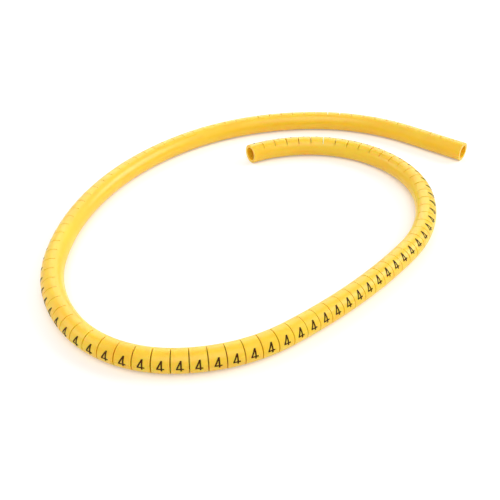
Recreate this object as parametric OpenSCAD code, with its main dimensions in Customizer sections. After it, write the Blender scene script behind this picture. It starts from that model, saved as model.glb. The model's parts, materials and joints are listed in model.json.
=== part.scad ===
// A strip of cable markers: one soft PVC tube, slit crosswise between its printed markers, so
// that each marker can be torn off and pushed over a wire. An uncut web opposite the print holds
// the markers together, and the slits gape where the strip bends.
// The strip lies on a table in one loose coil, with its print on the outer side, turned a little
// up. Millimetres; X to the right, Y away from the viewer, Z up; the table is z = 0 and the origin
// is under the middle of the coil's box.

/* [Tube] */

// Outside diameter of the tube
tube_od = 7.5; // [6.6:0.1:8.6]
// Diameter of the bore that a wire goes through
bore_d = 5.2; // [4.2:0.1:6]

/* [Markers] */

// Length of one marker from slit to slit, measured along the web
marker_length = 5; // [4:0.1:7]
// Number of markers on the strip
marker_count = 100; // [97:1:110]

/* [Slits] */

// Depth of a slit from the printed side, through the wall and into the bore
slit_depth = 3.6; // [2.4:0.1:5]
// Width of a slit at its bottom, and all the way up where the strip lies straight
slit_width = 0.24; // [0.1:0.02:0.4]
// Share of a bend that opens the slits; the soft markers give the rest
slit_share = 0.3; // [0:0.05:1]
// Angle that the slit side is turned up from the side of the coil, from the outer end on
roll_start = 20; // [0:1:40]
// The same angle at the inner end, after a slow twist
roll_end = 50; // [20:1:60]

/* [Hidden] */

$fa = 3;
$fs = 0.5;

tube_r = tube_od / 2;
bore_r = bore_d / 2;
// What a slit leaves uncut
web = tube_od - slit_depth;
// How far inside the tube's axis the line lies that keeps its length in a bend
hinge = tube_r - web / 2;
// How far the tool that cuts a slit reaches past the tube
past = 1;

// The lay of the strip, from its outer end: a straight lead, bends to the left, and a free tail.
// Each bend is the heading that it ends on and the number of markers that it takes.
// The headings are sides of 3-4-5 triangles, so that neighbouring bends meet face to face.
lead_heading = [-0.8, 0.6];
lead_markers = 5;
bends = [
    [[-1, 0], 8],
    [[-0.8, -0.6], 11],
    [[0, -1], 19],
    [[0.6, -0.8], 7],
    [[1, 0], 7],
    [[0.8, 0.6], 7],
    [[0.6, 0.8], 12],
    [[0, 1], 7],
    [[-1, 0], 12]
];
last = len(bends);
// Radius of the web in the tail
tail_radius = 46;
tail_markers = marker_count - first_marker(last);
// The numbers of the slits that the twist runs between
twist_from = 54;
twist_to = 76;

function heading(k) = k < 0 ? lead_heading : bends[k][0];
function outward(heading) = [heading[1], -heading[0]];
function degrees_of(v) = atan2(v[1], v[0]);

// Number of markers before a bend
function first_marker(k) = k == 0 ? lead_markers : first_marker(k - 1) + bends[k - 1][1];

// Angle that a bend turns through
function turn(k) = atan2(cross(heading(k - 1), heading(k)), heading(k - 1) * heading(k));

// Angle that one marker takes up, in the lead (-1), in a bend and in the tail (last)
tail_step = marker_length / tail_radius * 180 / PI;
function step(k) = k < 0 ? 0 : k == last ? tail_step : turn(k) / bends[k][1];

// Radius of the tube's axis in a bend, to a tenth of a millimetre
function tenth(x) = round(10 * x) / 10;
function radius(k) = tenth(marker_length / step(k) * 180 / PI + hinge);

// Angle that the slit side is turned up at a slit, by the slit's number along the strip
function twisted(n) = min(max((n - twist_from) / (twist_to - twist_from), 0), 1);
function roll(n) = roll_start + (roll_end - roll_start) * twisted(n);

// Where the tube's axis enters a bend, and the centre that it turns around
function entry(k) = k == 0
    ? lead_heading * lead_markers * marker_length
    : entry(k - 1) + radius(k - 1) * (outward(heading(k - 1)) - outward(heading(k - 2)));
function centre(k) = entry(k) - radius(k) * outward(heading(k - 1));

// The coil's box: its back, left, front and right lie where one bend meets the next
xs = [for (k = [0:last]) entry(k)[0]];
ys = [for (k = [0:last]) entry(k)[1]];
mouth_right = tube_r * lead_heading[1];
right = max(max(xs) + tube_r, mouth_right);
left = min(xs) - tube_r;
back = max(ys) + tube_r;
front = min(ys) - tube_r;

module profile() {
    difference() {
        circle(tube_r);
        circle(bore_r);
    }
}

module ring(r) {
    rotate_extrude() translate([r, 0]) profile();
}

module lead() {
    rotate([0, 90, degrees_of(lead_heading)])
        linear_extrude(height = lead_markers * marker_length) profile();
}

module bend(k) {
    from = 2 * radius(k) * outward(heading(k - 1));
    to = 2 * radius(k) * outward(heading(k));
    translate(centre(k)) intersection() {
        ring(radius(k));
        linear_extrude(height = 2 * tube_od, center = true)
            polygon([[0, 0], from, from + to, to]);
    }
}

module tail() {
    translate(centre(last)) rotate(degrees_of(outward(heading(last - 1))))
        rotate_extrude(angle = tail_markers * step(last)) translate([radius(last), 0]) profile();
}

module tube() {
    lead();
    for (k = [0:last - 1]) bend(k);
    tail();
}

// What slit number n takes away: x runs out from the tube's axis, y along the tube
module slit(n, gape) {
    bottom = tube_r - slit_depth;
    outside = tube_r + past;
    narrow = slit_width / 2;
    wide = narrow + (outside - bottom) * tan(gape / 2);
    rotate([0, -roll(n), 0])
        linear_extrude(height = tube_od + 2 * past, center = true)
            polygon([[bottom, -narrow], [outside, -wide], [outside, wide], [bottom, narrow]]);
}

module lead_slits() {
    for (i = [1:lead_markers - 1])
        translate(lead_heading * i * marker_length)
            rotate(degrees_of(outward(lead_heading)))
                slit(i, 0);
}

// Angle that a slit of a bend opens by; the first lies where it meets the stretch before it
function gape(k, i) = slit_share * (i == 0 ? (step(k - 1) + step(k)) / 2 : step(k));

module bend_slits(k, markers) {
    for (i = [0:markers - 1])
        translate(centre(k))
            rotate(degrees_of(outward(heading(k - 1))) + i * step(k))
                translate([radius(k), 0])
                    slit(first_marker(k) + i, gape(k, i));
}

module marker_strip() {
    color([1, 0.8, 0.2])
        translate([-(left + right) / 2, -(front + back) / 2, tube_r])
            difference() {
                tube();
                lead_slits();
                for (k = [0:last - 1]) bend_slits(k, bends[k][1]);
                bend_slits(last, tail_markers);
            }
}

marker_strip();
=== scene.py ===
# %% [markdown]
# # A strip of cable markers
# A marker strip is one soft yellow PVC tube. A digit is printed on it every few millimetres, and it is
# slit crosswise between the digits, so that single markers tear off and slide over a wire.
# The tube, its bore and its slits come from the construction model at their real size, and are never
# moved or changed here. What is left for Blender is the print, the finish of the soft plastic, and the
# table, the light and the camera of the photograph.

# %% Load the construction model
import json
import math

import bmesh
import bpy
from mathutils import Matrix, Vector


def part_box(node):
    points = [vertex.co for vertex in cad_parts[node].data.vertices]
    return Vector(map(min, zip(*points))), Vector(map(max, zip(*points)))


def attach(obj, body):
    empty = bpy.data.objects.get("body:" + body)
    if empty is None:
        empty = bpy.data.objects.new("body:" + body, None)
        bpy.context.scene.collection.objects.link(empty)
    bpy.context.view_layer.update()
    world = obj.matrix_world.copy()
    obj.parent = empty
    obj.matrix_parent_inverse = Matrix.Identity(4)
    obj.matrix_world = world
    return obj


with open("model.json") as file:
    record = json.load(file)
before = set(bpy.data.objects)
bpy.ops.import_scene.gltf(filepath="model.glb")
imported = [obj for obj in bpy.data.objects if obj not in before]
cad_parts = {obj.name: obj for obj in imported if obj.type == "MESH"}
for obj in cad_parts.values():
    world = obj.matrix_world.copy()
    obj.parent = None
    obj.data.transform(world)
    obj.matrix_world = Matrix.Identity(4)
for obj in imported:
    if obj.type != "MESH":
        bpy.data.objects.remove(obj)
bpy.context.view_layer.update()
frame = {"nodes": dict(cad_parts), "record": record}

MM = 0.001
strip = frame["nodes"]["marker_strip"]
low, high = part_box("marker_strip")
tube_radius = (high.z - low.z) / 2
strip_width, strip_depth, tube_thickness = (high - low) / MM
print(f"strip: {strip_width:.1f} x {strip_depth:.1f} mm, tube {tube_thickness:.2f} mm thick")

# %% [markdown]
# ## Where each marker lies
# The print needs the middle of every marker and the way the tube runs there. The strip was laid out from
# its outer end: a straight lead, nine bends to the left, and a free tail. Reading points off the mesh
# would work for one version of the model only, so the same walk is made again here. It starts at the
# mouth of the tube, which the record gives as a mount. The radius of a bend is a whole number of tenths
# of a millimetre, as in the construction, because the print would sink into the tube otherwise.

# %% Walk along the strip
MARKER_LENGTH = 5 * MM
WEB = 3.9 * MM
LEAD_MARKERS = 5
# The direction that each bend turns to, and the number of markers in it.
BENDS = [
    ((-1, 0), 8), ((-0.8, -0.6), 11), ((0, -1), 19),
    ((0.6, -0.8), 7), ((1, 0), 7), ((0.8, 0.6), 7),
    ((0.6, 0.8), 12), ((0, 1), 7), ((-1, 0), 12),
]
TAIL_WEB_RADIUS = 46 * MM
TAIL_MARKERS = 5
RADIUS_STEP = 0.1 * MM

mouth = next(m for m in frame["record"]["mounts"] if m["name"] == "lead_bore")
# The strip bends in the middle of its web, which lies this far inside the tube's axis.
web_inset = tube_radius - WEB / 2


def outward(heading):
    """The direction away from the middle of a bend to the left."""
    return Vector((heading.y, -heading.x, 0))


def turns_from(heading):
    """The angle that each bend and the tail turn by, and the number of markers in it."""
    turns = []
    for direction, markers in BENDS:
        turned_to = Vector((*direction, 0))
        turns.append((heading.angle(turned_to), markers))
        heading = turned_to
    turns.append((TAIL_MARKERS * MARKER_LENGTH / TAIL_WEB_RADIUS, TAIL_MARKERS))
    return turns


def walk():
    """The middle of the tube's axis in each marker, and the heading there."""
    spot = Vector(mouth["pos_m"])
    heading = -Vector(mouth["axis"]).normalized()
    spots = []
    for i in range(LEAD_MARKERS):
        spots.append((spot + heading * (i + 0.5) * MARKER_LENGTH, heading))
    spot = spot + heading * LEAD_MARKERS * MARKER_LENGTH
    for turn, markers in turns_from(heading):
        radius = round((markers * MARKER_LENGTH / turn + web_inset) / RADIUS_STEP) * RADIUS_STEP
        centre = spot - outward(heading) * radius
        for i in range(markers):
            part = Matrix.Rotation(turn * (i + 0.5) / markers, 3, "Z")
            spots.append((centre + part @ outward(heading) * radius, part @ heading))
        whole = Matrix.Rotation(turn, 3, "Z")
        spot = centre + whole @ outward(heading) * radius
        heading = whole @ heading
    return spots


spots = walk()
print(f"{len(spots)} markers; the last one lies at {[round(x / MM, 1) for x in spots[-1][0]]} mm")

# %% [markdown]
# ## One printed digit
# The print is a plain closed four, about three and a half millimetres tall. A text object would give some
# font's own four, and cutting a plane gives the proportions of this one: the plane is cut along the edges
# of the three strokes, and what lies in none of them is deleted. The digit stands up and faces the front,
# and the tube's axis will run behind it.

# %% Cut the digit out of a plane
DIGIT_HEIGHT = 3.45 * MM
DIGIT_WIDTH = 2.3 * MM
STROKE = 0.48 * MM
BAR_STROKE = 0.9 * STROKE
BAR_LOW = -1.15 * MM
BAR_HIGH = BAR_LOW + BAR_STROKE
STEM_LEFT = 0.1 * MM
STEM_RIGHT = STEM_LEFT + STROKE
APEX_X = 0.06 * MM
DIAGONAL_TOP = Vector((APEX_X, 0, DIGIT_HEIGHT / 2))
DIAGONAL_FOOT = Vector((-DIGIT_WIDTH / 2, 0, BAR_HIGH))
along_diagonal = (DIAGONAL_TOP - DIAGONAL_FOOT).normalized()
across_diagonal = Vector((along_diagonal.z, 0, -along_diagonal.x))


def cut(point, normal):
    """Cut every face of the piece in edit mode by a plane."""
    bpy.ops.mesh.select_all(action="SELECT")
    bpy.ops.mesh.bisect(plane_co=point, plane_no=normal)


def is_ink(p):
    """Whether a point of the digit's plane lies in one of its three strokes."""
    past_diagonal = (p - DIAGONAL_TOP).dot(across_diagonal)
    in_bar = BAR_LOW < p.z < BAR_HIGH
    in_stem = STEM_LEFT < p.x < STEM_RIGHT and past_diagonal > 0
    in_diagonal = 0 < past_diagonal < STROKE and p.z > BAR_LOW and p.x < STEM_RIGHT
    return in_bar or in_stem or in_diagonal


bpy.ops.object.select_all(action="DESELECT")
bpy.ops.mesh.primitive_plane_add(size=1, rotation=(math.radians(90), 0, 0))
digit = bpy.context.object
digit.name = "printed_digits"
digit.scale = (DIGIT_WIDTH, DIGIT_HEIGHT, 1)
bpy.ops.object.transform_apply(location=True, rotation=True, scale=True)
bpy.ops.object.mode_set(mode="EDIT")
for x in (STEM_LEFT, STEM_RIGHT):
    cut((x, 0, 0), (1, 0, 0))
for z in (BAR_LOW, BAR_HIGH):
    cut((0, 0, z), (0, 0, 1))
for edge in (0, STROKE):
    cut(DIAGONAL_TOP + edge * across_diagonal, across_diagonal)
sheet = bmesh.from_edit_mesh(digit.data)
for face in sheet.faces:
    face.select = not is_ink(face.calc_center_median())
bmesh.update_edit_mesh(digit.data)
bpy.ops.mesh.delete(type="FACE")
print(f"flat digit: {len(bmesh.from_edit_mesh(digit.data).faces)} faces")

# %% [markdown]
# ## The digit on the round tube
# A flat digit would stand off the tube at its top and foot. So it is cut into short rows, gets the
# thickness of a film of ink, and is bent once around the tube's own radius with Simple Deform. Shrinkwrap
# would follow the facets of the tube's mesh instead of the true cylinder. The film reaches a little into
# the tube, so that no gap shows under its edges. Which way it grows hangs on the way the plane faces. The
# plane faces the front from the start, and its normals aren't recalculated, because a flat sheet has no
# inside and could be turned round.

# %% Bend the digit around the tube
ROW = 0.45 * MM
MERGE_WITHIN = 0.01 * MM
INK_PROUD = 0.02 * MM
INK_DEEP = 0.07 * MM

rows = round(DIGIT_HEIGHT / ROW)
for i in range(1, rows):
    cut((0, 0, -DIGIT_HEIGHT / 2 + i * DIGIT_HEIGHT / rows), (0, 0, 1))
bpy.ops.mesh.select_all(action="SELECT")
bpy.ops.mesh.remove_doubles(threshold=MERGE_WITHIN)
bpy.ops.object.mode_set(mode="OBJECT")

film = digit.modifiers.new("film", "SOLIDIFY")
film.thickness = INK_PROUD + INK_DEEP
film.offset = (INK_PROUD - INK_DEEP) / (INK_PROUD + INK_DEEP)
bpy.ops.object.modifier_apply(modifier=film.name)
wrap = digit.modifiers.new("wrap", "SIMPLE_DEFORM")
wrap.deform_method = "BEND"
wrap.deform_axis = "X"
wrap.angle = DIGIT_HEIGHT / tube_radius
bpy.ops.object.modifier_apply(modifier=wrap.name)
digit.location.y = -tube_radius
bpy.ops.object.transform_apply(location=True, rotation=True, scale=True)
reach = [math.hypot(v.co.y, v.co.z) / MM for v in digit.data.vertices]
print(f"bent digit: {len(digit.data.polygons)} faces")
print(f"its film lies {min(reach):.3f} to {max(reach):.3f} mm from the tube's axis")

# %% [markdown]
# ## A digit on every marker
# All the markers carry the same digit, so the finished one is copied, each copy with its own mesh. Its
# origin is on the tube's axis: a copy is turned to its marker's heading, rolled up to where the print
# runs, and moved to the marker's middle. The strip lies with its slit side turned a little up, and it
# twists further up on the right. The print turns with it, and keeps within a millimetre of the slits'
# middle. One joined piece holds all the print.

# %% Copy the digit along the strip
ROLL_START = math.radians(16)
ROLL_END = math.radians(50)
TWIST_FROM = 60
TWIST_TO = 75
SMOOTH_UP_TO = math.radians(40)


def roll(n):
    """How far the strip's printed side is turned up, n markers along from its outer end."""
    twisted = min(max((n - TWIST_FROM) / (TWIST_TO - TWIST_FROM), 0), 1)
    return ROLL_START + (ROLL_END - ROLL_START) * twisted


copies = []
for i, (spot, heading) in enumerate(spots):
    copy = digit.copy()
    copy.data = digit.data.copy()
    bpy.context.collection.objects.link(copy)
    turned = Matrix.Rotation(math.atan2(heading.y, heading.x), 4, "Z")
    rolled = Matrix.Rotation(-roll(i + 0.5), 4, "X")
    copy.matrix_world = Matrix.Translation(spot) @ turned @ rolled
    copies.append(copy)
bpy.data.objects.remove(digit)

bpy.ops.object.select_all(action="DESELECT")
for copy in copies:
    copy.select_set(True)
bpy.context.view_layer.objects.active = copies[0]
bpy.ops.object.transform_apply(location=True, rotation=True, scale=True)
bpy.ops.object.join()
digits = bpy.context.object
digits.name = "printed_digits"
bpy.ops.object.shade_smooth_by_angle(angle=SMOOTH_UP_TO)
print(f"print: {len(digits.data.polygons)} faces on {len(spots)} markers")

# %% [markdown]
# ## The skin of extruded plastic
# Soft PVC comes out of a die, which leaves faint lines along the tube, and it is handled, which leaves
# cloudy patches. The strip lies flat, so a line along the tube keeps its height: a noise that is fine in Z
# and coarse in X and Y follows it round every bend with no texture map. The ink lies on the same skin, so
# the effect is one node group that both finishes use.

# %% Node group for the skin
SKIN_SCALES = {"Cloud Scale": 60, "Grain Scale": 4000, "Line Scale": 900}
FINE_IN_Z = (0.02, 0.02, 1)
LINE_HEIGHT = 0.6


def add_node(tree, kind, **values):
    """A node of that kind, with its properties or its input sockets set by name."""
    node = tree.nodes.new(kind)
    for name, value in values.items():
        if hasattr(node, name):
            setattr(node, name, value)
        else:
            node.inputs[name.replace("_", " ").title()].default_value = value
    return node


def make_skin():
    """A node group that gives cloudy patches, die lines and the height of the skin."""
    tree = bpy.data.node_groups.new("Extruded skin", "ShaderNodeTree")
    place = tree.interface.new_socket("Place", in_out="INPUT", socket_type="NodeSocketVector")
    place.hide_value = True
    for name, scale in SKIN_SCALES.items():
        socket = tree.interface.new_socket(name, in_out="INPUT", socket_type="NodeSocketFloat")
        socket.default_value = scale
    for name in ("Cloud", "Lines", "Height"):
        tree.interface.new_socket(name, in_out="OUTPUT", socket_type="NodeSocketFloat")
    start = tree.nodes.new("NodeGroupInput")
    end = tree.nodes.new("NodeGroupOutput")
    cloud = add_node(tree, "ShaderNodeTexNoise", detail=4, roughness=0.6)
    grain = add_node(tree, "ShaderNodeTexNoise", detail=2, roughness=0.5)
    lines = add_node(tree, "ShaderNodeTexNoise", detail=3, roughness=0.55)
    flatten = add_node(tree, "ShaderNodeVectorMath", operation="MULTIPLY")
    flatten.inputs[1].default_value = FINE_IN_Z
    height = add_node(tree, "ShaderNodeMath", operation="MULTIPLY_ADD")
    height.inputs[1].default_value = LINE_HEIGHT
    link = tree.links.new
    link(start.outputs["Place"], cloud.inputs["Vector"])
    link(start.outputs["Cloud Scale"], cloud.inputs["Scale"])
    link(start.outputs["Place"], grain.inputs["Vector"])
    link(start.outputs["Grain Scale"], grain.inputs["Scale"])
    link(start.outputs["Place"], flatten.inputs[0])
    link(flatten.outputs["Vector"], lines.inputs["Vector"])
    link(start.outputs["Line Scale"], lines.inputs["Scale"])
    link(lines.outputs["Fac"], height.inputs[0])
    link(grain.outputs["Fac"], height.inputs[2])
    link(cloud.outputs["Fac"], end.inputs["Cloud"])
    link(lines.outputs["Fac"], end.inputs["Lines"])
    link(height.outputs["Value"], end.inputs["Height"])
    return tree


skin = make_skin()
print(f"{skin.name}: {len(skin.nodes)} nodes")

# %% [markdown]
# ## A finish that follows the skin
# The strip and its print differ in colour and gloss, and each varies a little over its surface. Painting
# that by hand would need a texture map for a tube half a metre long. So a finish is given two colours and
# two degrees of gloss: the cloudy patches run between the colours, the die lines between the glosses, and
# the skin's height becomes a slight bump.

# %% Materials with the skin in them
MASK_LOW = 0.3
MASK_HIGH = 0.7
SKIN_DEPTH = 0.01 * MM


def spread(tree, mask, first, second):
    """A value that runs from the first to the second as a mask runs over its middle."""
    node = add_node(
        tree, "ShaderNodeMapRange", from_min=MASK_LOW, from_max=MASK_HIGH, to_min=first, to_max=second
    )
    tree.links.new(mask, node.inputs["Value"])
    return node.outputs["Result"]


def blend_colours(tree, mask, first, second):
    """A colour that runs from the first to the second as a mask runs over its middle."""
    node = add_node(tree, "ShaderNodeMix", data_type="RGBA")
    tree.links.new(spread(tree, mask, 0, 1), node.inputs["Factor"])
    node.inputs["A"].default_value = first
    node.inputs["B"].default_value = second
    return node.outputs["Result"]


def skinned_material(name, colours, roughness, bump_strength, **scales):
    """A material whose colour, gloss and bump follow the skin, and its shader."""
    material = bpy.data.materials.new(name)
    material.use_nodes = True
    tree = material.node_tree
    shader = tree.nodes["Principled BSDF"]
    where = tree.nodes.new("ShaderNodeTexCoord")
    group = add_node(tree, "ShaderNodeGroup", node_tree=skin, **scales)
    bump = add_node(tree, "ShaderNodeBump", strength=bump_strength, distance=SKIN_DEPTH)
    link = tree.links.new
    link(where.outputs["Object"], group.inputs["Place"])
    link(blend_colours(tree, group.outputs["Cloud"], *colours), shader.inputs["Base Color"])
    link(spread(tree, group.outputs["Lines"], *roughness), shader.inputs["Roughness"])
    link(group.outputs["Height"], bump.inputs["Height"])
    link(bump.outputs["Normal"], shader.inputs["Normal"])
    return material, shader


print(f"masks run from {MASK_LOW} to {MASK_HIGH}, and the skin is {SKIN_DEPTH / MM} mm deep")

# %% [markdown]
# ## Soft yellow PVC
# The strip is coloured through, satin and slightly see-through: light that goes in comes out again
# nearby, and red light goes furthest, which turns the shaded side and the slits orange. A darker base
# colour could not do that, because it would also darken the lit side. So the finish is a yellow with
# subsurface scattering over most of the thickness of the wall, and with small differences in its colour,
# gloss and skin.

# %% Finish of the strip
PVC_LIGHT = (1, 0.64, 0.028, 1)
PVC_DEEP = (1, 0.565, 0.018, 1)
PVC_ROUGHNESS = (0.26, 0.38)
PVC_BUMP = 0.25
GLOW = 0.7
GLOW_DEPTH = 0.8 * MM
# How far red, green and blue light go, as shares of that depth.
GLOW_SHARES = (1, 0.35, 0.08)


def make_pvc():
    colours = (PVC_DEEP, PVC_LIGHT)
    material, shader = skinned_material("soft yellow PVC", colours, PVC_ROUGHNESS, PVC_BUMP)
    shader.inputs["Subsurface Weight"].default_value = GLOW
    shader.inputs["Subsurface Radius"].default_value = GLOW_SHARES
    shader.inputs["Subsurface Scale"].default_value = GLOW_DEPTH
    return material


strip.data.materials.clear()
strip.data.materials.append(make_pvc())
print(f"{strip.data.materials[0].name} on {strip.name}")

# %% [markdown]
# ## Printed ink
# The digits are hot-stamped in a brown-black ink that sinks into the soft plastic. It isn't quite even:
# small spots took less ink, and a little yellow shows there. Modelling holes in the film would cost
# thousands of faces, so the spots are in the finish.

# %% Finish of the print
INK_FULL = (0.03, 0.006, 0.001, 1)
INK_THIN = (0.1, 0.028, 0.004, 1)
INK_ROUGHNESS = (0.45, 0.6)
INK_BUMP = 0.2
INK_SHINE = 0.08
SPOT_SCALE = 1500


def make_ink():
    colours = (INK_FULL, INK_THIN)
    material, shader = skinned_material(
        "printed ink", colours, INK_ROUGHNESS, INK_BUMP, cloud_scale=SPOT_SCALE
    )
    shader.inputs["Specular IOR Level"].default_value = INK_SHINE
    return material


digits.data.materials.clear()
digits.data.materials.append(make_ink())
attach(digits, "root")
print(f"{digits.data.materials[0].name} on {digits.name}")

# %% [markdown]
# ## The table
# The strip lies on a plain white table. A diffuse white plane alone renders pale grey, so what the camera
# sees of it gets a little light of its own, up to white. The plane still takes the strip's shadow, and
# the light that it throws back on the strip stays that of a plain white table.

# %% Table
TABLE_SIZE = 6
TABLE_COLOUR = (0.9, 0.9, 0.9, 1)
TABLE_ROUGHNESS = 0.9
TABLE_SHINE = 0.1
TABLE_LIFT = 0.2
WHITE = (1, 1, 1, 1)


def seen_rays(tree):
    """A mask that is one for what the camera sees, directly or in gloss and glass."""
    path = tree.nodes.new("ShaderNodeLightPath")
    first = add_node(tree, "ShaderNodeMath", operation="MAXIMUM")
    second = add_node(tree, "ShaderNodeMath", operation="MAXIMUM")
    tree.links.new(path.outputs["Is Camera Ray"], first.inputs[0])
    tree.links.new(path.outputs["Is Glossy Ray"], first.inputs[1])
    tree.links.new(first.outputs["Value"], second.inputs[0])
    tree.links.new(path.outputs["Is Transmission Ray"], second.inputs[1])
    return second.outputs["Value"]


def make_table_white():
    material = bpy.data.materials.new("white table")
    material.use_nodes = True
    tree = material.node_tree
    shader = tree.nodes["Principled BSDF"]
    shader.inputs["Base Color"].default_value = TABLE_COLOUR
    shader.inputs["Roughness"].default_value = TABLE_ROUGHNESS
    shader.inputs["Specular IOR Level"].default_value = TABLE_SHINE
    shader.inputs["Emission Color"].default_value = WHITE
    lift = add_node(tree, "ShaderNodeMath", operation="MULTIPLY")
    lift.inputs[1].default_value = TABLE_LIFT
    tree.links.new(seen_rays(tree), lift.inputs[0])
    tree.links.new(lift.outputs["Value"], shader.inputs["Emission Strength"])
    return material


bpy.ops.object.select_all(action="DESELECT")
bpy.ops.mesh.primitive_plane_add(size=TABLE_SIZE)
table = bpy.context.object
table.name = "table"
table.data.materials.append(make_table_white())
print(f"table: {TABLE_SIZE} m wide")

# %% [markdown]
# ## Light
# The photograph has the even light of a small studio tent: light from everywhere, a little more from above
# and in front, and softboxes on both sides and behind. The one behind puts a pale sheen on the top of the
# tube at the left and the right, and the one on the right a softer sheen on the print there. The world
# gives the first, and four wide suns the rest. Lamps close by would do too, but they would light the near
# side of the coil more than the far side. Together they light a white surface to about white, so the
# colours come out as they are written.

# %% World
WORLD_LIGHT = 0.42

world = bpy.data.worlds.new("studio")
bpy.context.scene.world = world
world.use_nodes = True
backdrop = world.node_tree.nodes["Background"]
backdrop.inputs["Color"].default_value = WHITE
level = add_node(world.node_tree, "ShaderNodeMapRange", to_min=WORLD_LIGHT, to_max=1)
world.node_tree.links.new(seen_rays(world.node_tree), level.inputs["Value"])
world.node_tree.links.new(level.outputs["Result"], backdrop.inputs["Strength"])
print(f"world: {WORLD_LIGHT} as light, and white to the camera")

# %% Suns
WIDE = math.radians(50)
NARROW = math.radians(36)
# The name of each sun, where its light comes from, how strong it is and how wide it looks.
SUNS = [
    ("overhead", Vector((0.1, -0.6, 0.9)), 1.1, WIDE),
    ("back softbox", Vector((0, 0.85, 0.5)), 0.8, WIDE),
    ("right softbox", Vector((0.85, 0.2, 0.5)), 1.3, NARROW),
    ("left softbox", Vector((-0.87, 0.1, 0.6)), 0.5, NARROW),
]

light_on_table = WORLD_LIGHT
for name, comes_from, light, width in SUNS:
    bpy.ops.object.light_add(type="SUN", rotation=comes_from.to_track_quat("Z", "Y").to_euler())
    sun = bpy.context.object
    sun.name = name
    sun.data.energy = light
    sun.data.angle = width
    light_on_table += light * comes_from.normalized().z / math.pi
print(f"{len(SUNS)} suns; with the world, they light a white table to {light_on_table:.2f}")

# %% [markdown]
# ## Camera
# The photograph looks down on the coil from the front, from rather close: the near side of the tube is
# about half as thick again as the far side. The camera stands at that height and distance, and looks at
# a point a little in front of the coil's middle.

# %% Camera
LOOK_AT = Vector((-10, -20.9, 3.7)) * MM
ELEVATION = math.radians(36)
DISTANCE = 279 * MM
FIELD_OF_VIEW = math.radians(34)
NEAREST_SEEN = 10 * MM

towards_camera = Vector((0, -math.cos(ELEVATION), math.sin(ELEVATION)))
bpy.ops.object.camera_add(location=LOOK_AT + DISTANCE * towards_camera)
camera = bpy.context.object
camera.rotation_euler = towards_camera.to_track_quat("Z", "Y").to_euler()
camera.data.angle = FIELD_OF_VIEW
camera.data.clip_start = NEAREST_SEEN
bpy.context.scene.camera = camera
bpy.context.scene.view_settings.view_transform = "Standard"
print(f"camera {DISTANCE / MM:.0f} mm away, lens {camera.data.lens:.1f} mm")
